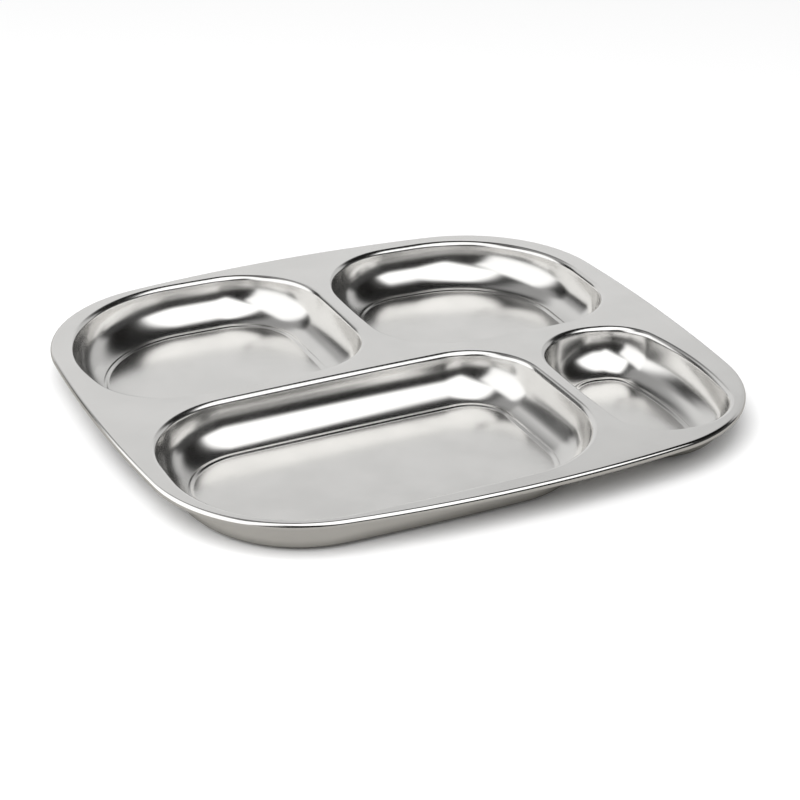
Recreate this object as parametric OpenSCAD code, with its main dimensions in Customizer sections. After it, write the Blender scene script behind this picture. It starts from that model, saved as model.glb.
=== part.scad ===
// Divided compartment plate: one pressed sheet with four drawn wells and a rolled rim.
// X runs along the long front edge, Y to the back, Z up. The origin lies on the
// table under the middle of the plate. Lengths are in millimetres.

/* [Plate] */
// Length over the rolled rim, left to right
plate_l = 275; // [262:1:320]
// Depth over the rolled rim, front to back
plate_d = 260; // [246:1:300]
// Height from the table to the flat top
plate_h = 20.5; // [18:0.5:24]
// Thickness of the sheet
sheet_t = 0.6; // [0.5:0.1:0.8]
// Corner radius of the flat top
plate_corner_r = 65; // [50:1:80]
// Rise of the slow curve along the front and back edges
long_bow_rise = 16.4; // [8:0.1:20]
// Rise of the slow curve along the left and right edges
short_bow_rise = 9.9; // [6:0.1:16]

/* [Rolled rim] */
// Outside diameter of the roll
roll_d = 3.4; // [2.8:0.1:4.4]
// Angle that the edge is rolled through, from the flat top round and back under it
roll_turn = 285; // [200:5:300]

/* [Strips between the wells] */
// Width of the flat strips between wells that lie side by side
strip_w = 3.3; // [2:0.1:6]
// Width of the flat strip between the front and back wells
cross_strip_w = 3.7; // [2:0.1:6]
// Middle of the strip between the front and back wells, as a share of the half depth
cross_strip_share = 0.0075; // [-0.04:0.0005:0.04]
// Middle of the strip between the two back wells, as a share of the half length
back_strip_share = 0.0335; // [-0.08:0.0005:0.08]
// Middle of the strip between the two front wells, as a share of the half length
front_strip_share = 0.4335; // [0.37:0.001:0.46]

/* [Well walls] */
// Shoulder radius, where the flat top turns down into a well
shoulder_r = 2.4; // [1.4:0.1:3]
// Steepness of the wall where the shoulder ends, from the flat
wall_slope = 85; // [80:1:87]
// Steepness of the slightly hollow wall where the base curve starts
foot_slope = 70; // [62:1:76]
// Radius of the hollow curve from the wall's foot towards the base
base_r = 16.4; // [14:0.2:18]
// Slope left where that curve ends, at the edge of the small step
base_slope = 17; // [10:1:24]
// Radius of each bend of the small step down to the floor
step_r = 1.2; // [0.8:0.1:1.6]
// Steepest slope on that step
step_slope = 34; // [26:1:40]

/* [Large well] */
// Flat top left outside the large well, at its left and front sides
large_margins = [7.6, 6.3]; // [4:0.1:12]
// Corner radii: front left, front right, back right, back left
large_corner_rs = [58, 50, 33.4, 47]; // [32:0.1:62]
// Rises of the slow side curves: front, right, back, left
large_rises = [3.6, 2, 1.4, 3.3]; // [0.5:0.1:12]
// How far right of the middle its back side is highest, as a share of the half side
large_lean_share = 0.68; // [-0.9:0.01:0.9]

/* [Left well] */
// Flat top left outside the left well, at its left and back sides
left_margins = [7.4, 6]; // [4:0.1:12]
// Corner radii: front left, front right, back right, back left
left_corner_rs = [37.2, 36, 41.9, 67.8]; // [32:0.1:72]
// Rises of the slow side curves: front, right, back, left
left_rises = [8.2, 1.7, 2.1, 11.1]; // [0.5:0.1:13]

/* [Right well] */
// Flat top left outside the right well, at its right and back sides
right_margins = [9.4, 8.4]; // [4:0.1:14]
// Corner radii: front left, front right, back right, back left
right_corner_rs = [38, 36, 61.9, 44.3]; // [32:0.1:64]
// Rises of the slow side curves: front, right, back, left
right_rises = [6.1, 1.7, 2, 3]; // [0.5:0.1:12]
// How far right of the middle its back side is highest, as a share of the half side
right_lean_share = -0.75; // [-0.9:0.01:0.9]

/* [Small well] */
// Flat top left outside the small well, at its right and front sides
small_margins = [11.6, 15.7]; // [6:0.1:18]
// Corner radii: front left, front right, back right, back left
small_corner_rs = [24.4, 31.6, 25.5, 30.5]; // [23:0.1:36]
// Rises of the slow side curves: front, right, back, left
small_rises = [4.2, 10.3, 4, 2.5]; // [0.5:0.1:12]
// How far right of the middle its back side is highest, as a share of the half side
small_lean_share = -0.75; // [-0.9:0.01:0.9]

/* [Hidden] */
// Facets of a full turn: across the sheet's bends, round the corners, on the slow curves
bend_fn = 72;
corner_fn = 144;
bow_fn = 1440;
// Steps of a well's outline, on each slow curve and round each corner
bow_steps = 3;
corner_steps = 10;
// Steps of a well's wall: over the shoulder, down the wall, through the base curve and
// into and out of the small step to the floor
shoulder_steps = 3;
wall_steps = 2;
base_steps = 5;
lip_steps = 1;
foot_steps = 2;
// Direction of up in a section, in degrees
up = 90;
// Two neighbouring corners never take more than this share of their side
corner_limit_share = 0.88;

roll_r = roll_d / 2;
// Half sizes of the flat top, which ends over the middle of the roll
top_half_l = plate_l / 2 - roll_r;
top_half_d = plate_d / 2 - roll_r;
// Middles of the strips, from the plate's middle
cross_strip_y = cross_strip_share * top_half_d;
back_strip_x = back_strip_share * top_half_l;
front_strip_x = front_strip_share * top_half_l;

// Wall in section: shoulder, slightly hollow wall, hollow base curve, small step. The
// wall between the two curves takes up what the other bends leave of the drop.
shoulder_drop = shoulder_r * (1 - cos(wall_slope));
base_drop = base_r * (cos(base_slope) - cos(foot_slope));
step_drop = step_r * (cos(base_slope) + 1 - 2 * cos(step_slope));
wall_drop = plate_h - sheet_t - shoulder_drop - base_drop - step_drop;
wall_r = wall_drop / (cos(foot_slope) - cos(wall_slope));

// Centres of those bends as [inset, height], each in line with the next where they meet
shoulder_c = [0, plate_h - shoulder_r];
wall_c = shoulder_c + (shoulder_r + wall_r) * facing(wall_slope);
base_c = wall_c + (base_r - wall_r) * facing(foot_slope);
lip_c = base_c - (base_r + step_r) * facing(base_slope);
foot_c = lip_c + 2 * step_r * facing(step_slope);

// Boxes round the outlines: [left, right, front, back]
top_box = [-top_half_l, top_half_l, -top_half_d, top_half_d];
large_box = [
    large_margins[0] - top_half_l,
    front_strip_x - strip_w / 2,
    large_margins[1] - top_half_d,
    cross_strip_y - cross_strip_w / 2
];
left_box = [
    left_margins[0] - top_half_l,
    back_strip_x - strip_w / 2,
    cross_strip_y + cross_strip_w / 2,
    top_half_d - left_margins[1]
];
right_box = [
    back_strip_x + strip_w / 2,
    top_half_l - right_margins[0],
    cross_strip_y + cross_strip_w / 2,
    top_half_d - right_margins[1]
];
small_box = [
    front_strip_x + strip_w / 2,
    top_half_l - small_margins[0],
    small_margins[1] - top_half_d,
    cross_strip_y - cross_strip_w / 2
];

// Outlines of eight tangent arcs, counterclockwise from the front side
top_corner_rs = [for (i = [0:3]) plate_corner_r];
top_rises = [long_bow_rise, short_bow_rise, long_bow_rise, short_bow_rise];
top_arcs = outline(top_box, top_corner_rs, top_rises, 0);
large_arcs = outline(large_box, large_corner_rs, large_rises, large_lean_share);
left_arcs = outline(left_box, left_corner_rs, left_rises, 0);
right_arcs = outline(right_box, right_corner_rs, right_rises, right_lean_share);
small_arcs = outline(small_box, small_corner_rs, small_rises, small_lean_share);

// Radius of the slow curve that rises so much over a side of a box
function bow_radius(side, rise) = ((side / 2) ^ 2 + rise ^ 2) / (2 * rise);

// Centre of the slow curve on side i of a box: 0 front, 1 right, 2 back, 3 left
function bow_centre(box, bows, i, lean_share) =
    let (
        mid_x = (box[0] + box[1]) / 2,
        mid_y = (box[2] + box[3]) / 2,
        lean = lean_share * (box[1] - box[0]) / 2
    )
    i == 0 ? [mid_x, box[2] + bows[0]]
    : i == 1 ? [box[1] - bows[1], mid_y]
    : i == 2 ? [mid_x + lean, box[3] - bows[2]]
    : [box[0] + bows[3], mid_y];

// Share by which a box's corner radii shrink so that they leave room on each side
function corner_fit(box, corners) =
    let (wide = box[1] - box[0], deep = box[3] - box[2])
    min(
        1,
        corner_limit_share * wide / (corners[0] + corners[1]),
        corner_limit_share * deep / (corners[1] + corners[2]),
        corner_limit_share * wide / (corners[2] + corners[3]),
        corner_limit_share * deep / (corners[3] + corners[0])
    );

// Centre of a corner arc of radius r inside two slow curves, counterclockwise
function corner_centre(from, from_r, to, to_r, r) =
    let (
        gap = norm(to - from),
        along = (to - from) / gap,
        left = [-along[1], along[0]],
        reach = from_r - r,
        step = (gap ^ 2 + reach ^ 2 - (to_r - r) ^ 2) / (2 * gap)
    )
    from + step * along + sqrt(reach ^ 2 - step ^ 2) * left;

// Direction from one point to another, in degrees
function heading(from, to) = atan2(to[1] - from[1], to[0] - from[0]);

// Turn from one direction to another, counterclockwise
function turn(from, to) = (to - from + 720) % 360;

// Outline as arcs [centre, radius, start angle, turned angle], slow curve then corner
function outline(box, corners, rises, lean_share) =
    let (
        fit = corner_fit(box, corners),
        sides = [box[1] - box[0], box[3] - box[2]],
        bows = [for (i = [0:3]) bow_radius(sides[i % 2], rises[i])],
        mids = [for (i = [0:3]) bow_centre(box, bows, i, lean_share)],
        rs = [for (i = [0:3]) fit * corners[(i + 1) % 4]],
        ends = [for (i = [0:3])
            corner_centre(mids[i], bows[i], mids[(i + 1) % 4], bows[(i + 1) % 4], rs[i])
        ],
        from = [for (i = [0:3]) heading(mids[i], ends[(i + 3) % 4])],
        to = [for (i = [0:3]) heading(mids[i], ends[i])],
        next = [for (i = [0:3]) heading(mids[(i + 1) % 4], ends[i])]
    )
    [for (i = [0:3], corner = [false, true])
        corner
            ? [ends[i], rs[i], to[i], turn(to[i], next[i])]
            : [mids[i], bows[i], from[i], turn(from[i], to[i])]
    ];

// Point at an angle on an arc that is moved inward
function arc_point(arc, inset, angle) =
    arc[0] + (arc[1] - inset) * [cos(angle), sin(angle)];

// Facets of a full turn for arc i of an outline
function arc_fn(i) = i % 2 == 0 ? bow_fn : corner_fn;

// Wedge with its tip at the origin, of up to 170 degrees
module wedge(reach, from, turned) {
    rotate(from)
        polygon([
            [0, 0],
            [reach, 0],
            [reach, reach * tan(turned / 2)],
            reach * [cos(turned), sin(turned)],
        ]);
}

// Rim in section, rolled from the edge of the flat top outwards and back under it
module roll_section() {
    translate([0, plate_h - roll_r])
        difference() {
            circle(r = roll_r, $fn = bend_fn);
            circle(r = roll_r - sheet_t, $fn = bend_fn);
            wedge(2 * roll_r, up + roll_turn, 360 - roll_turn);
        }
}

// Section carried round an outline
module sweep(arcs) {
    for (i = [0:len(arcs) - 1])
        let (arc = arcs[i])
            translate([arc[0][0], arc[0][1], 0])
                rotate_extrude(angle = arc[3], start = arc[2], $fn = arc_fn(i))
                    translate([arc[1], 0])
                        mirror([1, 0])
                            children();
}

// Area within an outline that is moved inward
module area(arcs, inset) {
    polygon([for (arc = arcs) arc_point(arc, inset, arc[2])]);
    for (i = [0:len(arcs) - 1])
        arc_cap(arcs[i], inset, arc_fn(i));
}

// Slice of an arc's disc outside its chord
module arc_cap(arc, inset, fn) {
    a = arc_point(arc, inset, arc[2]);
    b = arc_point(arc, inset, arc[2] + arc[3]);
    middle = arc[2] + arc[3] / 2;
    rise = norm(b - a) * [cos(middle), sin(middle)];
    intersection() {
        translate(arc[0])
            circle(r = arc[1] - inset, $fn = fn);
        polygon([a, b, b + rise, a + rise]);
    }
}

// Points round an outline that is moved inward, at a height
function ring(arcs, inset, z) =
    [for (i = [0:len(arcs) - 1])
        let (arc = arcs[i], steps = i % 2 == 0 ? bow_steps : corner_steps)
        for (k = [0:steps - 1])
            let (p = arc_point(arc, inset, arc[2] + arc[3] * k / steps))
            [p[0], p[1], z]
    ];

// Direction square to a slope, as [inward, up]
function facing(slope) = [sin(slope), cos(slope)];

// Steps along a bend from one slope to another, as [inset, height, slope]. A hollow
// bend has a radius below zero.
function bend(centre, r, from, to, steps) = [
    for (k = [1:steps])
        let (a = from + (to - from) * k / steps, p = centre + r * facing(a))
        [p[0], p[1], a]
];

// Upper face of the wall in section, from the flat top down to the floor
function wall_face() = [
    [0, plate_h, 0],
    each bend(shoulder_c, shoulder_r, 0, wall_slope, shoulder_steps),
    each bend(wall_c, -wall_r, wall_slope, foot_slope, wall_steps),
    each bend(base_c, -base_r, foot_slope, base_slope, base_steps),
    each bend(lip_c, step_r, base_slope, step_slope, lip_steps),
    each bend(foot_c, -step_r, step_slope, 0, foot_steps)
];

// Point on the sheet's lower face under a point of its upper face
function under(p) = [p[0] - sheet_t * sin(p[2]), p[1] - sheet_t * cos(p[2]), p[2]];

// Drawn well: the sheet carried round the outline, closed by the floor on the table
module well(arcs) {
    face = wall_face();
    last = len(face) - 1;
    section = [for (k = [0:last]) under(face[last - k]), each face];
    rings = [for (p = section) ring(arcs, p[0], p[1])];
    n = len(rings[0]);
    floor_under = [for (k = [0:n - 1]) k];
    floor_upper = [for (k = [0:n - 1]) (len(rings) - 1) * n + n - 1 - k];
    sides = [for (r = [0:len(rings) - 2], k = [0:n - 1])
        let (next = (k + 1) % n)
        [r * n + k, (r + 1) * n + k, (r + 1) * n + next, r * n + next]
    ];
    polyhedron(points = [for (r = rings) each r], faces = [floor_under, floor_upper, each sides]);
}

module flat_top() {
    color("silver")
        translate([0, 0, plate_h - sheet_t])
            linear_extrude(height = sheet_t)
                difference() {
                    area(top_arcs, 0);
                    for (arcs = [large_arcs, left_arcs, right_arcs, small_arcs])
                        polygon([for (p = ring(arcs, 0, 0)) [p[0], p[1]]]);
                }
}

module rolled_rim() {
    color("gainsboro")
        sweep(top_arcs)
            roll_section();
}

module large_well() {
    color("silver")
        well(large_arcs);
}

module left_well() {
    color("silver")
        well(left_arcs);
}

module right_well() {
    color("silver")
        well(right_arcs);
}

module small_well() {
    color("silver")
        well(small_arcs);
}

flat_top();
rolled_rim();
large_well();
left_well();
right_well();
small_well();
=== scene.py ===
"""Looks of a divided compartment plate: one pressed and satin-finished steel sheet.

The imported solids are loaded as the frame. Each formed region of the sheet is
built again here with smooth, fine surfaces in the same place and outline, and
stands for its solid. At each floor's edge it has a narrow ledge and a gentle
step, where the solid has a smaller and steeper step. The studio round the plate
is stage: a pale floor, soft boxes and boards that the steel reflects.
"""

import logging
import math
from dataclasses import dataclass, field
from enum import Enum
from typing import Sequence

import bmesh
import bpy
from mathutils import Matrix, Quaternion, Vector

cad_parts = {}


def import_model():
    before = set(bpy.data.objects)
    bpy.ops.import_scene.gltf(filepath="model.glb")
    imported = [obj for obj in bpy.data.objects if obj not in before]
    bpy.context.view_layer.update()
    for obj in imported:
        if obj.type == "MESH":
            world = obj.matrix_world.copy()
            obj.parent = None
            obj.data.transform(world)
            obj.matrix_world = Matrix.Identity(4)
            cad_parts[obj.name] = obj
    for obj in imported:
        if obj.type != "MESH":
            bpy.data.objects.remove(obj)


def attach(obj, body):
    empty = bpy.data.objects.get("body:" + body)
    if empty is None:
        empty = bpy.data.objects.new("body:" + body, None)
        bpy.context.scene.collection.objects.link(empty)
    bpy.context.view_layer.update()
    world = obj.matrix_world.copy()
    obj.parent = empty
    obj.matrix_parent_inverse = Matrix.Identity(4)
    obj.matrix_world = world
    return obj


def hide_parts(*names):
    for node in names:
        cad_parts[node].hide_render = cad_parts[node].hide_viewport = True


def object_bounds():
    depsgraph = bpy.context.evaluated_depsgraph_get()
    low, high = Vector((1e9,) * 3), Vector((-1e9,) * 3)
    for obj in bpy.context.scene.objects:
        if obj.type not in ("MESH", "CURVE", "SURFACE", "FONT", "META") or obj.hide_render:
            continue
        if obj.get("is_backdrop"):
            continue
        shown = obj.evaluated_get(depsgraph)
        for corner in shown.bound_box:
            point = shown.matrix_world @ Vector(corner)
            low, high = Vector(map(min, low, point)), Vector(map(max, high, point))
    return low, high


LOG = logging.getLogger("plate")
MM = 0.001
MERGE_GAP = 1e-7  # metres, under which two vertices are one
CREASE = 30.0  # degrees, from which an edge of the flat top is crisp
FIRST_BEND = 0.3  # degrees, a hair's turn that keeps the shading flat up to the bend
Point = tuple[float, float]
Span = tuple[float, float]
Ring = list[Vector]


class Bend(Enum):
    """Kind of arc in an outline."""

    SIDE = "side"
    CORNER = "corner"


class Coat(Enum):
    """Where on the sheet a finish lies."""

    FLAT = "flat"
    ROLL = "roll"
    DRAWN = "drawn"


# Sizes


@dataclass(frozen=True)
class PlateSize:
    """Sizes of the whole sheet, in millimetres.

    Attributes:
        length: Length over the rim, left to right.
        depth: Depth over the rim, front to back.
        height: Height from the table to the flat top.
        sheet: Thickness of the sheet.
        corner_r: Corner radius of the flat top.
        long_bow_rise: Rise of the slow curve along the front and back edges.
        short_bow_rise: Rise of the slow curve along the left and right edges.
        roll_d: Outside diameter of the rolled rim.
        roll_turn: Angle that the edge is rolled through, in degrees.
    """

    length: float = 275.0
    depth: float = 260.0
    height: float = 20.5
    sheet: float = 0.6
    corner_r: float = 65.0
    long_bow_rise: float = 16.4
    short_bow_rise: float = 9.9
    roll_d: float = 3.4
    roll_turn: float = 285.0

    @property
    def roll_r(self) -> float:
        """Outside radius of the roll, in millimetres."""
        return self.roll_d / 2

    @property
    def half_l(self) -> float:
        """Half length of the flat top, to the middle of the roll."""
        return self.length / 2 - self.roll_r

    @property
    def half_d(self) -> float:
        """Half depth of the flat top, to the middle of the roll."""
        return self.depth / 2 - self.roll_r


@dataclass(frozen=True)
class WallSize:
    """Section of a drawn well's wall, in millimetres and degrees.

    Attributes:
        shoulder_r: Radius where the flat top turns down.
        wall_slope: Steepness where the shoulder ends, from the flat.
        foot_slope: Steepness of the slightly hollow wall where the base curve starts.
        base_r: Radius of the hollow curve towards the base.
        base_slope: Slope left where that curve ends, at the ledge.
        ledge_r: Radius of the hollow bend into the ledge.
        ledge_slope: Slope of the ledge, nearly level.
        lip_r: Radius over which the ledge turns down to the small step.
        step_r: Radius of the step's hollow bend into the floor.
        step_slope: Steepest slope on the step.
    """

    shoulder_r: float = 2.4
    wall_slope: float = 85.0
    foot_slope: float = 70.0
    base_r: float = 16.4
    base_slope: float = 17.0
    ledge_r: float = 2.0
    ledge_slope: float = 0.5
    lip_r: float = 3.2
    step_r: float = 2.0
    step_slope: float = 26.0


@dataclass(frozen=True)
class StripSize:
    """Flat strips between the wells.

    Attributes:
        width: Width between wells that lie side by side, in millimetres.
        cross_width: Width between the front and back wells, in millimetres.
        cross_share: Middle of that strip, as a share of the half depth.
        back_share: Middle between the two back wells, as a share of the half length.
        front_share: Middle between the two front wells, as a share of the half length.
    """

    width: float = 3.3
    cross_width: float = 3.7
    cross_share: float = 0.0075
    back_share: float = 0.0335
    front_share: float = 0.4335


@dataclass(frozen=True)
class WellSize:
    """Outline of a well in its box, in millimetres.

    Attributes:
        margins: Flat left at the plate's edge, at the side and at the front or back.
        corners: Corner radii: front left, front right, back right, back left.
        rises: Rises of the slow side curves: front, right, back, left.
        lean_share: How far right of the middle its back side is highest, as a share
            of the half side.
    """

    margins: Span
    corners: tuple[float, float, float, float]
    rises: tuple[float, float, float, float]
    lean_share: float = 0.0


@dataclass(frozen=True)
class MeshSteps:
    """Fineness of the surfaces.

    Attributes:
        side: Steps along each slow curve.
        corner: Steps round each corner.
        bend: Steps over a shoulder.
        base: Steps through a hollow curve.
        step: Steps on each bend of the ledge and the small step.
        wall: Steps down the slightly hollow wall.
        roll: Steps round the rolled rim.
    """

    side: int = 14
    corner: int = 40
    bend: int = 14
    base: int = 26
    step: int = 5
    wall: int = 8
    roll: int = 44


LARGE = WellSize(
    margins=(7.6, 6.3),
    corners=(58, 50, 33.4, 47),
    rises=(3.6, 2, 1.4, 3.3),
    lean_share=0.68,
)
LEFT = WellSize(
    margins=(7.4, 6),
    corners=(37.2, 36, 41.9, 67.8),
    rises=(8.2, 1.7, 2.1, 11.1),
)
RIGHT = WellSize(
    margins=(9.4, 8.4),
    corners=(38, 36, 61.9, 44.3),
    rises=(6.1, 1.7, 2, 3),
    lean_share=-0.75,
)
SMALL = WellSize(
    margins=(11.6, 15.7),
    corners=(24.4, 31.6, 25.5, 30.5),
    rises=(4.2, 10.3, 4, 2.5),
    lean_share=-0.75,
)


# Outlines and sections


@dataclass(frozen=True)
class Arc:
    """One arc of an outline, turned counterclockwise.

    Attributes:
        centre: Centre in plan.
        radius: Radius in millimetres.
        start: Start angle in degrees.
        turned: Angle turned in degrees.
        bend: Whether it is a slow side curve or a corner.
    """

    centre: Point
    radius: float
    start: float
    turned: float
    bend: Bend

    def point(self, share: float, inset: float) -> Point:
        """Point on the arc after it is moved inward.

        Args:
            share: How far along the arc, from 0 to 1.
            inset: Distance moved inward, in millimetres.

        Returns:
            The point in plan.
        """
        angle = math.radians(self.start + self.turned * share)
        reach = self.radius - inset
        return (
            self.centre[0] + reach * math.cos(angle),
            self.centre[1] + reach * math.sin(angle),
        )


class Outline:
    """Closed outline of eight tangent arcs, counterclockwise from the front side.

    Attributes:
        LIMIT_SHARE: Most of a side that its two corners may take up.
    """

    LIMIT_SHARE = 0.88

    def __init__(
        self,
        box: tuple[float, float, float, float],
        corners: Sequence[float],
        rises: Sequence[float],
        lean_share: float = 0.0,
    ) -> None:
        """Works out the arcs.

        Args:
            box: Left, right, front and back of the outline.
            corners: Corner radii: front left, front right, back right, back left.
            rises: Rises of the slow side curves: front, right, back, left.
            lean_share: How far right of the middle the back side is highest.
        """
        self.box = box
        fit = self._fit(corners)
        sides = (box[1] - box[0], box[3] - box[2])
        bows = [self._bow_radius(sides[i % 2], rises[i]) for i in range(4)]
        mids = self._bow_centres(bows, lean_share)
        radii = [fit * corners[(i + 1) % 4] for i in range(4)]
        ends = [
            self._corner_centre(
                mids[i], bows[i], mids[(i + 1) % 4], bows[(i + 1) % 4], radii[i]
            )
            for i in range(4)
        ]
        self.arcs: list[Arc] = []
        for i in range(4):
            begin = self._heading(mids[i], ends[(i + 3) % 4])
            end = self._heading(mids[i], ends[i])
            after = self._heading(mids[(i + 1) % 4], ends[i])
            side_turn = (end - begin) % 360
            corner_turn = (after - end) % 360
            self.arcs.append(Arc(mids[i], bows[i], begin, side_turn, Bend.SIDE))
            self.arcs.append(Arc(ends[i], radii[i], end, corner_turn, Bend.CORNER))

    def _fit(self, corners: Sequence[float]) -> float:
        """Share by which the corners shrink to leave room on each side.

        Args:
            corners: The four corner radii.

        Returns:
            A share, at most 1.
        """
        wide = self.box[1] - self.box[0]
        deep = self.box[3] - self.box[2]
        sides = (wide, deep, wide, deep)
        shares = [
            self.LIMIT_SHARE * sides[i] / (corners[i] + corners[(i + 1) % 4])
            for i in range(4)
        ]
        return min(1.0, *shares)

    @staticmethod
    def _bow_radius(side: float, rise: float) -> float:
        """Radius of the slow curve that rises so much over a side."""
        return ((side / 2) ** 2 + rise**2) / (2 * rise)

    def _bow_centres(self, bows: Sequence[float], lean_share: float) -> list[Point]:
        """Centres of the four slow side curves.

        Args:
            bows: Their radii: front, right, back, left.
            lean_share: How far right of the middle the back side is highest.

        Returns:
            The four centres in plan.
        """
        left, right, front, back = self.box
        mid_x, mid_y = (left + right) / 2, (front + back) / 2
        lean = lean_share * (right - left) / 2
        return [
            (mid_x, front + bows[0]),
            (right - bows[1], mid_y),
            (mid_x + lean, back - bows[2]),
            (left + bows[3], mid_y),
        ]

    @staticmethod
    def _corner_centre(
        a: Point, a_r: float, b: Point, b_r: float, r: float
    ) -> Point:
        """Centre of a corner arc that lies inside two slow curves.

        Args:
            a: Centre of the first slow curve.
            a_r: Its radius.
            b: Centre of the next slow curve.
            b_r: Its radius.
            r: Radius of the corner.

        Returns:
            The centre in plan.
        """
        gap = math.dist(a, b)
        along = ((b[0] - a[0]) / gap, (b[1] - a[1]) / gap)
        reach = a_r - r
        step = (gap**2 + reach**2 - (b_r - r) ** 2) / (2 * gap)
        rise = math.sqrt(reach**2 - step**2)
        return (
            a[0] + step * along[0] - rise * along[1],
            a[1] + step * along[1] + rise * along[0],
        )

    @staticmethod
    def _heading(a: Point, b: Point) -> float:
        """Direction from point a to point b, in degrees."""
        return math.degrees(math.atan2(b[1] - a[1], b[0] - a[0]))

    def ring(self, inset: float, z: float, steps: MeshSteps) -> Ring:
        """Points round the outline, moved inward, at a height.

        Args:
            inset: Distance moved inward, in millimetres.
            z: Height in millimetres.
            steps: Fineness.

        Returns:
            Points in metres, counterclockwise.
        """
        points: Ring = []
        for arc in self.arcs:
            count = steps.side if arc.bend is Bend.SIDE else steps.corner
            for k in range(count):
                x, y = arc.point(k / count, inset)
                points.append(Vector((x * MM, y * MM, z * MM)))
        return points


@dataclass(frozen=True)
class SectionPoint:
    """Point of the sheet's upper face in section.

    Attributes:
        inset: Distance inward from the outline.
        z: Height.
        slope: Angle down from the flat, in degrees.
    """

    inset: float
    z: float
    slope: float

    def under(self, sheet: float) -> Point:
        """Matching point of the lower face.

        Args:
            sheet: Thickness of the sheet.

        Returns:
            Inset and height of that point.
        """
        angle = math.radians(self.slope)
        return (
            self.inset - sheet * math.sin(angle),
            self.z - sheet * math.cos(angle),
        )


@dataclass(frozen=True)
class SectionBend:
    """One arc of a wall's section.

    Attributes:
        centre: Inset and height of its centre.
        radius: Radius, below zero where the face is hollow.
        start: Slope where it starts, in degrees.
        end: Slope where it ends, in degrees.
    """

    centre: Point
    radius: float
    start: float
    end: float

    def following(self, radius: float, end: float) -> "SectionBend":
        """Bend that carries on from this one without a kink.

        Args:
            radius: Radius of the next bend, below zero where the face is hollow.
            end: Slope where the next bend ends, in degrees.

        Returns:
            The next bend.
        """
        reach, angle = self.radius - radius, math.radians(self.end)
        centre = (
            self.centre[0] + reach * math.sin(angle),
            self.centre[1] + reach * math.cos(angle),
        )
        return SectionBend(centre, radius, self.end, end)

    def point(self, slope: float) -> SectionPoint:
        """Point of the bend.

        Args:
            slope: Slope there, in degrees.

        Returns:
            The point.
        """
        angle = math.radians(slope)
        return SectionPoint(
            self.centre[0] + self.radius * math.sin(angle),
            self.centre[1] + self.radius * math.cos(angle),
            slope,
        )

    def points(self, count: int) -> list[SectionPoint]:
        """Points along the bend in a number of steps, without its start."""
        turn = self.end - self.start
        return [self.point(self.start + turn * k / count) for k in range(1, count + 1)]


class WallSection:
    """Upper face of a well's wall: shoulder, hollow wall, base curve, ledge and step."""

    def __init__(self, size: WallSize, plate: PlateSize) -> None:
        """Works out the bends, each in line with the next.

        Args:
            size: Radii and slopes of the wall.
            plate: Sizes of the whole sheet.
        """
        slopes = (
            size.wall_slope,
            size.foot_slope,
            size.base_slope,
            size.ledge_slope,
            size.step_slope,
        )
        wall, foot, base, ledge, step = (math.cos(math.radians(a)) for a in slopes)
        drop = plate.height - plate.sheet - size.shoulder_r * (1 - wall)
        drop -= size.base_r * (base - foot) + size.ledge_r * (ledge - base)
        drop -= size.lip_r * (ledge - step) + size.step_r * (1 - step)
        top = (0.0, plate.height - size.shoulder_r)
        bends = [SectionBend(top, size.shoulder_r, 0.0, size.wall_slope)]
        bends.append(bends[-1].following(-drop / (foot - wall), size.foot_slope))
        bends.append(bends[-1].following(-size.base_r, size.base_slope))
        bends.append(bends[-1].following(-size.ledge_r, size.ledge_slope))
        bends.append(bends[-1].following(size.lip_r, size.step_slope))
        bends.append(bends[-1].following(-size.step_r, 0.0))
        self.bends = bends

    def face(self, steps: MeshSteps) -> list[SectionPoint]:
        """Points of the upper face from the flat top to the floor.

        Args:
            steps: Fineness.

        Returns:
            The points, the first on the outline and the last on the floor.
        """
        shoulder = self.bends[0]
        points = [shoulder.point(0.0), shoulder.point(FIRST_BEND)]
        counts = (steps.bend, steps.wall, steps.base, steps.step, steps.step, steps.step)
        for bend, count in zip(self.bends, counts):
            points += bend.points(count)
        return points


# Mesh helpers


def loop_from_ring(bm: bmesh.types.BMesh, ring: Ring) -> list[bmesh.types.BMEdge]:
    """Makes a closed edge loop through the points of a ring.

    Args:
        bm: Mesh being built.
        ring: Points of the loop, in metres.

    Returns:
        Edges of the loop.
    """
    made = bmesh.ops.create_circle(bm, cap_ends=False, radius=1.0, segments=len(ring))
    verts = made["verts"]
    for vert, place in zip(verts, ring):
        vert.co = place
    return list({edge for vert in verts for edge in vert.link_edges})


def ordered_verts(edges: Sequence[bmesh.types.BMEdge]) -> list[bmesh.types.BMVert]:
    """Vertices of a closed edge loop, in order.

    Args:
        edges: Edges of one closed loop.

    Returns:
        The vertices, each once.
    """
    pool = set(edges)
    edge = edges[0]
    first, vert = edge.verts
    order = [first]
    while vert is not first:
        order.append(vert)
        edge = next(e for e in vert.link_edges if e in pool and e is not edge)
        vert = edge.other_vert(vert)
    return order


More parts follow.
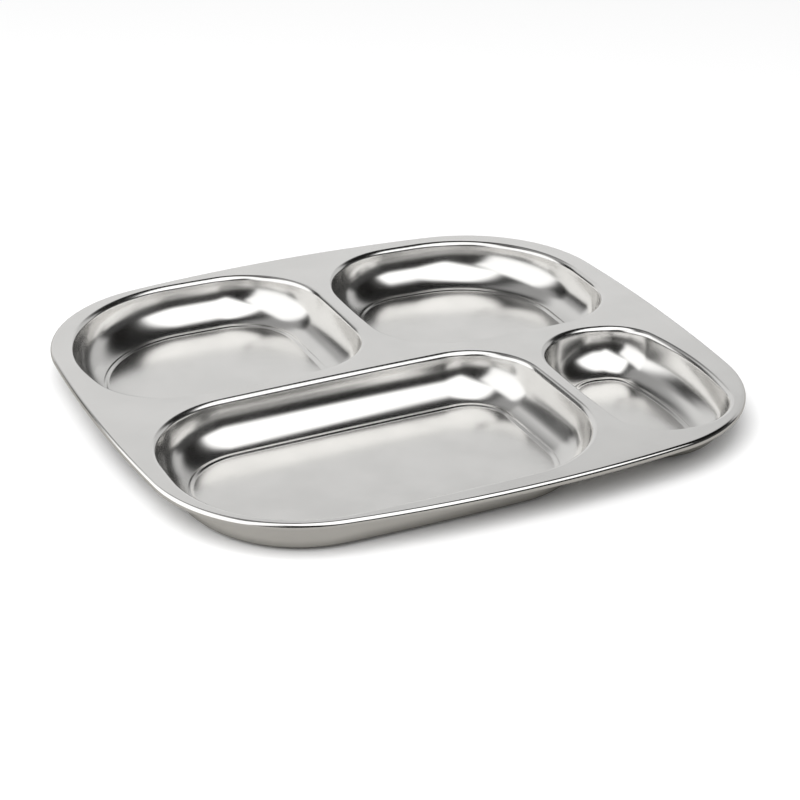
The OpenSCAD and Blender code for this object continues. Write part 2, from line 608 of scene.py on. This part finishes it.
def loft(
    bm: bmesh.types.BMesh, rings: Sequence[Ring], closed: bool
) -> list[list[bmesh.types.BMEdge]]:
    """Carries an edge loop through rings of equal length.

    Args:
        bm: Mesh being built.
        rings: Rings in order.
        closed: Whether the last ring joins the first.

    Returns:
        Edge loops, one for each ring.
    """
    loops = [loop_from_ring(bm, rings[0])]
    for ring in rings[1:]:
        verts = ordered_verts(loops[-1])
        made = bmesh.ops.extrude_edge_only(bm, edges=loops[-1])
        fresh = {g for g in made["geom"] if isinstance(g, bmesh.types.BMVert)}
        partner = {}
        for vert in verts:
            for edge in vert.link_edges:
                other = edge.other_vert(vert)
                if other in fresh:
                    partner[vert] = other
        order = match_order(verts, rings[len(loops) - 1])
        for vert, place in zip(order, ring):
            partner[vert].co = place
        loops.append(
            [
                g
                for g in made["geom"]
                if isinstance(g, bmesh.types.BMEdge)
                and g.verts[0] in fresh
                and g.verts[1] in fresh
            ]
        )
    if closed:
        bmesh.ops.bridge_loops(bm, edges=loops[-1] + loops[0])
    return loops


def match_order(
    verts: list[bmesh.types.BMVert], ring: Ring
) -> list[bmesh.types.BMVert]:
    """Turns a vertex loop so that it runs with the points of its ring.

    Args:
        verts: Vertices of a closed loop, in order.
        ring: The points that they lie on.

    Returns:
        The vertices, first on the ring's first point and in its direction.
    """
    start = min(range(len(verts)), key=lambda i: (verts[i].co - ring[0]).length_squared)
    turned = verts[start:] + verts[:start]
    if (turned[1].co - ring[1]).length_squared > (turned[-1].co - ring[1]).length_squared:
        turned = [turned[0]] + turned[:0:-1]
    return turned


def finish_mesh(bm: bmesh.types.BMesh, name: str) -> bpy.types.Object:
    """Turns a built mesh into an object with outward, smooth faces.

    Args:
        bm: Mesh that was built. It is freed.
        name: Name of the piece.

    Returns:
        The object, linked to the scene.
    """
    bmesh.ops.remove_doubles(bm, verts=bm.verts, dist=MERGE_GAP)
    bmesh.ops.recalc_face_normals(bm, faces=bm.faces)
    for face in bm.faces:
        face.smooth = True
    mesh = bpy.data.meshes.new(name)
    bm.to_mesh(mesh)
    bm.free()
    piece = bpy.data.objects.new(name, mesh)
    bpy.context.scene.collection.objects.link(piece)
    return piece


def mark_sharp(loops: Sequence[Sequence[bmesh.types.BMEdge]]) -> None:
    """Keeps the edges of loops crisp.

    Args:
        loops: Edge loops.
    """
    for loop in loops:
        for edge in loop:
            edge.smooth = False


# Materials


def linear(code: str) -> tuple[float, float, float, float]:
    """Converts an sRGB hex colour to linear values.

    Args:
        code: Six hex digits.

    Returns:
        Red, green, blue and alpha.
    """

    def channel(value: float) -> float:
        """One channel by the standard sRGB curve."""
        return value / 12.92 if value <= 0.04045 else ((value + 0.055) / 1.055) ** 2.4

    red, green, blue = (channel(int(code[i : i + 2], 16) / 255) for i in (0, 2, 4))
    return (red, green, blue, 1.0)


class Shader:
    """Builds the nodes of one material or world.

    Attributes:
        SPREAD: Distance between nodes in the editor, across and down.
        ROWS: Rows of nodes in the editor.
    """

    SPREAD = (220, 120)
    ROWS = 3

    def __init__(self, owner: bpy.types.Material | bpy.types.World) -> None:
        """Starts an empty node tree.

        Args:
            owner: Material or world that the tree belongs to.
        """
        owner.use_nodes = True
        self.tree = owner.node_tree
        self.tree.nodes.clear()
        self._column = 0

    def add(self, kind: str, *inputs: object, **values: object) -> bpy.types.Node:
        """Adds a node with its settings and links.

        Args:
            kind: Type of the node.
            *inputs: Values or sockets for its first inputs, in order.
            **values: Node properties, or inputs by name, written with underscores.

        Returns:
            The node.
        """
        node = self.tree.nodes.new(kind)
        self._column += 1
        node.location = (
            self.SPREAD[0] * self._column,
            -self.SPREAD[1] * (self._column % self.ROWS),
        )
        given = list(zip(node.inputs, inputs))
        for key, value in values.items():
            title = key.replace("_", " ").lower()
            socket = next((s for s in node.inputs if s.name.lower() == title), None)
            if socket is None:
                setattr(node, key, value)
            else:
                given.append((socket, value))
        for socket, value in given:
            if isinstance(value, bpy.types.NodeSocket):
                self.tree.links.new(value, socket)
            else:
                socket.default_value = value
        return node


@dataclass(frozen=True)
class SteelFinish:
    """Stainless steel sheet, pressed and then satin finished.

    The finish softens the edges of what the steel reflects and keeps its shapes.
    The real grain is finer than a pixel, so it is drawn as coarse as it needs to show.

    Attributes:
        name: Name of the material.
        light: Colour of the sheet where it is cleanest.
        dark: Colour of the sheet where it is dullest.
        roughness: Least and most roughness.
        cloud_mm: Size of the slow changes in the finish.
        cloud_detail: Layers of finer change in them.
        cloud_share: Share of the roughness that follows the slow changes.
        cloud_range: Strength of the slow changes from cleanest to dullest.
        grain_mm: Size of the fine grain.
        grain_detail: Layers of finer grain in it.
        grain_depth: Depth of the fine grain, in millimetres.
        rough_range: Strength of both together from least to most roughness.
    """

    name: str
    light: str = "DEDDDB"
    dark: str = "DAD9D7"
    roughness: Span = (0.175, 0.195)
    cloud_mm: float = 26.0
    cloud_detail: float = 3.0
    cloud_share: float = 0.6
    cloud_range: Span = (0.3, 0.7)
    grain_mm: float = 0.35
    grain_detail: float = 4.0
    grain_depth: float = 0.0006
    rough_range: Span = (0.35, 0.65)

    def build(self) -> bpy.types.Material:
        """Makes the material.

        Returns:
            The material.
        """
        material = bpy.data.materials.new(self.name)
        shader = Shader(material)
        place = shader.add("ShaderNodeTexCoord").outputs["Object"]
        cloud = shader.add(
            "ShaderNodeTexNoise",
            Vector=place,
            Scale=1 / (self.cloud_mm * MM),
            Detail=self.cloud_detail,
        ).outputs["Fac"]
        grain = shader.add(
            "ShaderNodeTexNoise",
            Vector=place,
            Scale=1 / (self.grain_mm * MM),
            Detail=self.grain_detail,
        ).outputs["Fac"]
        dullness = shader.add(
            "ShaderNodeMapRange",
            cloud,
            *self.cloud_range,
            0.0,
            1.0,
            interpolation_type="SMOOTHSTEP",
        ).outputs["Result"]
        tint = shader.add("ShaderNodeMix", dullness, data_type="RGBA")
        clean, dull = (s for s in tint.inputs if s.type == "RGBA")
        clean.default_value = linear(self.light)
        dull.default_value = linear(self.dark)
        colour = next(s for s in tint.outputs if s.type == "RGBA")
        coarse = shader.add(
            "ShaderNodeMath", cloud, self.cloud_share, operation="MULTIPLY"
        ).outputs["Value"]
        uneven = shader.add(
            "ShaderNodeMath",
            grain,
            1 - self.cloud_share,
            coarse,
            operation="MULTIPLY_ADD",
        ).outputs["Value"]
        rough = shader.add(
            "ShaderNodeMapRange",
            uneven,
            *self.rough_range,
            *self.roughness,
            interpolation_type="SMOOTHSTEP",
        ).outputs["Result"]
        bump = shader.add(
            "ShaderNodeBump", Strength=1.0, Distance=self.grain_depth * MM, Height=grain
        ).outputs["Normal"]
        steel = shader.add(
            "ShaderNodeBsdfPrincipled",
            Base_Color=colour,
            Metallic=1.0,
            Roughness=rough,
            Normal=bump,
        ).outputs["BSDF"]
        shader.add("ShaderNodeOutputMaterial", Surface=steel)
        return material


FINISHES: dict[Coat, SteelFinish] = {
    Coat.FLAT: SteelFinish("satin_steel_flat"),
    Coat.ROLL: SteelFinish("satin_steel_roll", roughness=(0.1, 0.15)),
    Coat.DRAWN: SteelFinish("satin_steel_drawn", roughness=(0.165, 0.195)),
}


# The sheet's regions


@dataclass
class Sheet:
    """What every formed region of the sheet shares.

    Attributes:
        plate: Sizes of the whole sheet.
        strips: Strips between the wells.
        wall: Section of a wall.
        steps: Fineness.
        materials: Material for each kind of place.
    """

    plate: PlateSize = field(default_factory=PlateSize)
    strips: StripSize = field(default_factory=StripSize)
    wall: WallSize = field(default_factory=WallSize)
    steps: MeshSteps = field(default_factory=MeshSteps)
    materials: dict[Coat, bpy.types.Material] = field(default_factory=dict)

    def top_outline(self) -> Outline:
        """Outline of the flat top.

        Returns:
            The outline, at the middle of the roll.
        """
        p = self.plate
        box = (-p.half_l, p.half_l, -p.half_d, p.half_d)
        rises = (p.long_bow_rise, p.short_bow_rise, p.long_bow_rise, p.short_bow_rise)
        return Outline(box, [p.corner_r] * 4, rises)

    def well_outlines(self) -> dict[str, Outline]:
        """Outlines of the four wells.

        Returns:
            Outlines by the name of the CAD node.
        """
        p, s = self.plate, self.strips
        gap, cross_gap = s.width / 2, s.cross_width / 2
        cross_y = s.cross_share * p.half_d
        back_x, front_x = s.back_share * p.half_l, s.front_share * p.half_l
        boxes = {
            "large_well": (
                LARGE.margins[0] - p.half_l,
                front_x - gap,
                LARGE.margins[1] - p.half_d,
                cross_y - cross_gap,
            ),
            "left_well": (
                LEFT.margins[0] - p.half_l,
                back_x - gap,
                cross_y + cross_gap,
                p.half_d - LEFT.margins[1],
            ),
            "right_well": (
                back_x + gap,
                p.half_l - RIGHT.margins[0],
                cross_y + cross_gap,
                p.half_d - RIGHT.margins[1],
            ),
            "small_well": (
                front_x + gap,
                p.half_l - SMALL.margins[0],
                SMALL.margins[1] - p.half_d,
                cross_y - cross_gap,
            ),
        }
        sizes = (LARGE, LEFT, RIGHT, SMALL)
        return {
            name: Outline(box, size.corners, size.rises, size.lean_share)
            for (name, box), size in zip(boxes.items(), sizes)
        }

    def place(self, piece: bpy.types.Object, node: str, coat: Coat) -> None:
        """Gives a region its finish, hangs it on the root and hides the solid that it
        stands for.

        Args:
            piece: The object.
            node: Name of the CAD node.
            coat: Kind of place.
        """
        piece.data.materials.append(self.materials[coat])
        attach(piece, "root")
        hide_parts(node)
        LOG.info("%s: %d faces", piece.name, len(piece.data.polygons))


@dataclass(frozen=True)
class FlatTop:
    """The flat sheet between and round the wells.

    Attributes:
        sheet: What the regions share.
    """

    sheet: Sheet

    def build(self) -> None:
        """Fills the area between the outlines and gives it the sheet's thickness."""
        sheet = self.sheet
        top = sheet.plate.height
        bm = bmesh.new()
        edges: list[bmesh.types.BMEdge] = []
        outlines = [sheet.top_outline(), *sheet.well_outlines().values()]
        for outline in outlines:
            edges += loop_from_ring(bm, outline.ring(0.0, top, sheet.steps))
        bmesh.ops.triangle_fill(bm, use_beauty=True, edges=edges, normal=(0, 0, 1))
        made = bmesh.ops.extrude_face_region(bm, geom=list(bm.faces), use_keep_orig=True)
        fresh = [g for g in made["geom"] if isinstance(g, bmesh.types.BMVert)]
        bmesh.ops.translate(bm, verts=fresh, vec=(0, 0, -sheet.plate.sheet * MM))
        for edge in bm.edges:
            if len(edge.link_faces) == 2:
                edge.smooth = edge.calc_face_angle(0.0) < math.radians(CREASE)
        piece = finish_mesh(bm, "flat_top_sheet")
        sheet.place(piece, "flat_top", Coat.FLAT)


@dataclass(frozen=True)
class RolledRim:
    """The edge, rolled outwards, round and back under the flat top.

    Attributes:
        sheet: What the regions share.
    """

    sheet: Sheet

    def section(self) -> list[Point]:
        """Section of the roll: outer face, then back along the inner face.

        Returns:
            Inset and height of each point.
        """
        plate, count = self.sheet.plate, self.sheet.steps.roll
        middle = plate.height - plate.roll_r
        turns = [plate.roll_turn * k / count for k in range(count + 1)]
        turns.insert(1, FIRST_BEND)
        outer = [self._point(plate.roll_r, turn, middle) for turn in turns]
        inner = [
            self._point(plate.roll_r - plate.sheet, turn, middle)
            for turn in reversed(turns)
        ]
        return outer + inner

    @staticmethod
    def _point(r: float, turn: float, middle: float) -> Point:
        """Inset and height on radius r, rolled through a turn from the flat top."""
        angle = math.radians(turn)
        return (-r * math.sin(angle), middle + r * math.cos(angle))

    def build(self) -> None:
        """Carries the section round the outline."""
        sheet = self.sheet
        outline = sheet.top_outline()
        section = self.section()
        rings = [outline.ring(inset, z, sheet.steps) for inset, z in section]
        bm = bmesh.new()
        loops = loft(bm, rings, closed=True)
        half = len(loops) // 2
        mark_sharp([loops[0], loops[half - 1], loops[half], loops[-1]])
        piece = finish_mesh(bm, "rolled_rim_bead")
        sheet.place(piece, "rolled_rim", Coat.ROLL)


@dataclass(frozen=True)
class DrawnWell:
    """One well: the sheet carried down round an outline and closed by a floor.

    Attributes:
        sheet: What the regions share.
        node: Name of the CAD node.
        outline: Outline on the flat top.
        floor_margin: Flat run past the last bend, which keeps its shading apart.
    """

    sheet: Sheet
    node: str
    outline: Outline
    floor_margin: float = 0.6

    def build(self) -> None:
        """Lofts the wall and closes the floor on both faces."""
        sheet = self.sheet
        wall = WallSection(sheet.wall, sheet.plate)
        face = wall.face(sheet.steps)
        upper = [(p.inset, p.z) for p in face]
        lower = [p.under(sheet.plate.sheet) for p in reversed(face)]
        margin = self.floor_margin
        ends = (
            (lower[0][0] + margin, lower[0][1]),
            (upper[-1][0] + margin, upper[-1][1]),
        )
        section = [ends[0], *lower, *upper, ends[1]]
        rings = [self.outline.ring(inset, z, sheet.steps) for inset, z in section]
        bm = bmesh.new()
        loops = loft(bm, rings, closed=False)
        bmesh.ops.edgeloop_fill(bm, edges=loops[0])
        bmesh.ops.edgeloop_fill(bm, edges=loops[-1])
        mark_sharp([loops[len(lower)], loops[len(lower) + 1]])
        piece = finish_mesh(bm, self.node + "_pressing")
        sheet.place(piece, self.node, Coat.DRAWN)


# Studio


WHITE = "FFFFFF"
UNIT_HALF = 0.5  # half side of a board before it is scaled


def flat_square(
    name: str, half: float, material: bpy.types.Material
) -> bpy.types.Object:
    """Makes a flat square in the middle of the scene.

    Args:
        name: Name of the object.
        half: Half its side, in metres.
        material: What covers it.

    Returns:
        The object, linked to the scene.
    """
    bm = bmesh.new()
    bmesh.ops.create_grid(bm, x_segments=1, y_segments=1, size=half)
    mesh = bpy.data.meshes.new(name)
    bm.to_mesh(mesh)
    bm.free()
    mesh.materials.append(material)
    square = bpy.data.objects.new(name, mesh)
    bpy.context.scene.collection.objects.link(square)
    return square


@dataclass(frozen=True)
class CameraSize:
    """Camera of the photograph.

    Attributes:
        azimuth: Direction round the plate, in degrees.
        elevation: Height above the horizon, in degrees.
        distance: Distance from the middle of the flat top, in metres.
        lens: Focal length for the sensor's width, in millimetres.
        sensor: Width of the sensor, in millimetres.
        shift: Shift of the picture across and up.
    """

    azimuth: float = -25.04
    elevation: float = 25.23
    distance: float = 1.073
    lens: float = 108.9
    sensor: float = 36.0
    shift: Point = (0.01125, -0.048125)

    def build(self, target: Vector) -> None:
        """Makes the camera.

        Args:
            target: Point that it looks at before the shift.
        """
        back = direction(self.azimuth, self.elevation)
        data = bpy.data.cameras.new("photo_camera")
        data.sensor_fit = "HORIZONTAL"
        data.sensor_width = self.sensor
        data.lens = self.lens
        data.shift_x, data.shift_y = self.shift
        camera = bpy.data.objects.new("photo_camera", data)
        camera.location = target + back * self.distance
        camera.rotation_mode = "QUATERNION"
        camera.rotation_quaternion = (-back).to_track_quat("-Z", "Y")
        bpy.context.scene.collection.objects.link(camera)
        bpy.context.scene.camera = camera


def direction(azimuth: float, elevation: float) -> Vector:
    """Unit vector at degrees round from -Y towards +X and up from the horizon."""
    a, e = math.radians(azimuth), math.radians(elevation)
    return Vector((math.sin(a) * math.cos(e), -math.cos(a) * math.cos(e), math.sin(e)))


@dataclass(frozen=True)
class Card:
    """A softly lit board that shows only in the steel.

    Attributes:
        name: Name of the board.
        azimuth: Direction from the plate, in degrees.
        elevation: Height above the horizon, in degrees.
        distance: Distance from the plate, in metres.
        size: Width and height, in metres.
        glow: Brightness of the middle.
        feather: Share of the half size over which the light fades at the edge.
        roll: Turn in its own plane, in degrees.
    """

    name: str
    azimuth: float
    elevation: float
    distance: float
    size: Point
    glow: float
    feather: float
    roll: float = 0.0

    def build(self, target: Vector) -> None:
        """Makes the board, seen only in reflections.

        Args:
            target: Point that it faces.
        """
        towards = direction(self.azimuth, self.elevation)
        board = flat_square(self.name, UNIT_HALF, self._material())
        board.location = target + towards * self.distance
        board.rotation_mode = "QUATERNION"
        facing = (-towards).to_track_quat("Z", "Y")
        board.rotation_quaternion = facing @ Quaternion((0, 0, 1), math.radians(self.roll))
        board.scale = (*self.size, 1.0)
        board.visible_camera = False
        board.visible_diffuse = False
        board.visible_shadow = False
        board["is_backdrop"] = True

    def _material(self) -> bpy.types.Material:
        """Makes the board's soft-edged light.

        Returns:
            The material.
        """
        material = bpy.data.materials.new(self.name)
        shader = Shader(material)
        place = shader.add("ShaderNodeTexCoord").outputs["Object"]
        parts = shader.add("ShaderNodeSeparateXYZ", Vector=place)
        fades = []
        for axis in ("X", "Y"):
            off = shader.add("ShaderNodeMath", parts.outputs[axis], operation="ABSOLUTE")
            fades.append(
                shader.add(
                    "ShaderNodeMapRange",
                    off.outputs["Value"],
                    UNIT_HALF * (1 - self.feather),
                    UNIT_HALF,
                    1.0,
                    0.0,
                    interpolation_type="SMOOTHSTEP",
                ).outputs["Result"]
            )
        fade = shader.add("ShaderNodeMath", *fades, operation="MULTIPLY").outputs["Value"]
        lamp = shader.add(
            "ShaderNodeEmission", Color=linear(WHITE), Strength=self.glow
        ).outputs["Emission"]
        clear = shader.add("ShaderNodeBsdfTransparent").outputs["BSDF"]
        soft = shader.add("ShaderNodeMixShader", fade, clear, lamp).outputs["Shader"]
        shader.add("ShaderNodeOutputMaterial", Surface=soft)
        return material


@dataclass(frozen=True)
class Lamp:
    """A soft lamp that lights the floor and shows in no reflection.

    Attributes:
        name: Name of the lamp.
        azimuth: Direction from the plate, in degrees.
        elevation: Height above the horizon, in degrees.
        distance: Distance from the plate, in metres.
        size: Side of the lamp, in metres.
        watts: Power.
    """

    name: str
    azimuth: float
    elevation: float
    distance: float
    size: float
    watts: float

    def build(self, target: Vector) -> None:
        """Makes the lamp.

        Args:
            target: Point that it faces.
        """
        towards = direction(self.azimuth, self.elevation)
        data = bpy.data.lights.new(self.name, "AREA")
        data.shape = "SQUARE"
        data.size = self.size
        data.energy = self.watts
        lamp = bpy.data.objects.new(self.name, data)
        lamp.location = target + towards * self.distance
        lamp.rotation_mode = "QUATERNION"
        lamp.rotation_quaternion = (-towards).to_track_quat("-Z", "Y")
        lamp.visible_glossy = False
        bpy.context.scene.collection.objects.link(lamp)


KEY_LAMP = Lamp(
    "key", azimuth=-36.0, elevation=48.0, distance=3.0, size=1.8, watts=100.0
)

# Soft boxes give the two bright shapes in each well, and the boards and walls
# behind them the grey of the flat top and the lighter bands.
CARDS: tuple[Card, ...] = (
    Card(
        "left_soft_box",
        azimuth=-92.0,
        elevation=25.0,
        distance=0.38,
        size=(0.8, 0.58),
        glow=1.5,
        feather=0.25,
        roll=9.0,
    ),
    Card(
        "high_soft_box",
        azimuth=7.0,
        elevation=62.0,
        distance=0.5,
        size=(0.68, 0.86),
        glow=1.7,
        feather=0.3,
        roll=-24.0,
    ),
    Card(
        "back_board",
        azimuth=170.0,
        elevation=13.0,
        distance=0.86,
        size=(1.14, 0.94),
        glow=0.86,
        feather=0.3,
        roll=-13.0,
    ),
    Card(
        "back_wall",
        azimuth=150.0,
        elevation=8.0,
        distance=1.3,
        size=(4.6, 1.8),
        glow=0.68,
        feather=0.35,
    ),
    Card(
        "side_wall",
        azimuth=-160.0,
        elevation=50.0,
        distance=1.1,
        size=(1.0, 1.0),
        glow=0.38,
        feather=0.6,
    ),
    Card(
        "right_wall",
        azimuth=62.0,
        elevation=9.0,
        distance=1.4,
        size=(2.0, 1.0),
        glow=0.06,
        feather=0.4,
    ),
    Card(
        "upper_wall",
        azimuth=170.0,
        elevation=56.0,
        distance=1.7,
        size=(3.6, 1.9),
        glow=0.012,
        feather=0.5,
    ),
)


@dataclass(frozen=True)
class Studio:
    """Pale floor, soft light and the boards that the steel reflects.

    Attributes:
        target: Middle of the flat top, that the studio is built round.
        floor_half: Half side of the floor, in metres.
        floor: Colour of the floor.
        painted_shade_floor_in_steel: Greyer colour that the steel sees of it, painted
            shade on the floor's reflection.
        surround: Strength of the white surround.
        room: Colour of the dim room that the steel sees instead.
        room_glow: Strength of that room.
    """

    target: Vector
    floor_half: float = 6.0
    floor: str = "FAFAFA"
    painted_shade_floor_in_steel: str = "ADABA7"
    surround: float = 0.5
    room: str = "4A4844"
    room_glow: float = 0.08

    def build(self) -> None:
        """Makes the floor, the boards, the lamp and the world."""
        self._floor()
        for card in CARDS:
            card.build(self.target)
        KEY_LAMP.build(self.target)
        self._world()

    def _floor(self) -> None:
        """Makes the pale floor, with a greyer copy that only reflections see: painted
        shade on the floor's reflection.
        """
        pale = bpy.data.materials.new("pale_floor")
        shader = Shader(pale)
        body = shader.add("ShaderNodeBsdfDiffuse", Color=linear(self.floor))
        # Greyer copy of the floor for reflections only: painted shade, darker than the lit
        # floor that the camera sees.
        seen = shader.add("ShaderNodeBsdfDiffuse", Color=linear(self.painted_shade_floor_in_steel))
        in_steel = shader.add("ShaderNodeLightPath").outputs["Is Glossy Ray"]
        mixed = shader.add(
            "ShaderNodeMixShader", in_steel, body.outputs["BSDF"], seen.outputs["BSDF"]
        ).outputs["Shader"]
        shader.add("ShaderNodeOutputMaterial", Surface=mixed)
        flat_square("floor", self.floor_half, pale)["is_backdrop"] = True

    def _world(self) -> None:
        """Makes a white surround that reflections see as a dim room."""
        world = bpy.data.worlds.new("surround")
        bpy.context.scene.world = world
        shader = Shader(world)
        white = shader.add(
            "ShaderNodeBackground", Color=linear(WHITE), Strength=self.surround
        ).outputs["Background"]
        dim = shader.add(
            "ShaderNodeBackground", Color=linear(self.room), Strength=self.room_glow
        ).outputs["Background"]
        in_steel = shader.add("ShaderNodeLightPath").outputs["Is Glossy Ray"]
        mixed = shader.add("ShaderNodeMixShader", in_steel, white, dim).outputs["Shader"]
        shader.add("ShaderNodeOutputWorld", Surface=mixed)


# Main


def main() -> None:
    """Builds the camera, the plate's regions and the studio."""
    logging.basicConfig(level=logging.INFO, format="%(name)s: %(message)s")
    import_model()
    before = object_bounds()
    before = (before[0].copy(), before[1].copy())
    sheet = Sheet()
    target = Vector((0.0, 0.0, sheet.plate.height * MM))
    CameraSize().build(target)
    sheet.materials = {coat: finish.build() for coat, finish in FINISHES.items()}
    FlatTop(sheet).build()
    RolledRim(sheet).build()
    for node, outline in sheet.well_outlines().items():
        DrawnWell(sheet, node, outline).build()
    Studio(target).build()
    bpy.context.scene.view_settings.view_transform = "Standard"


if __name__ == "__main__":
    main()
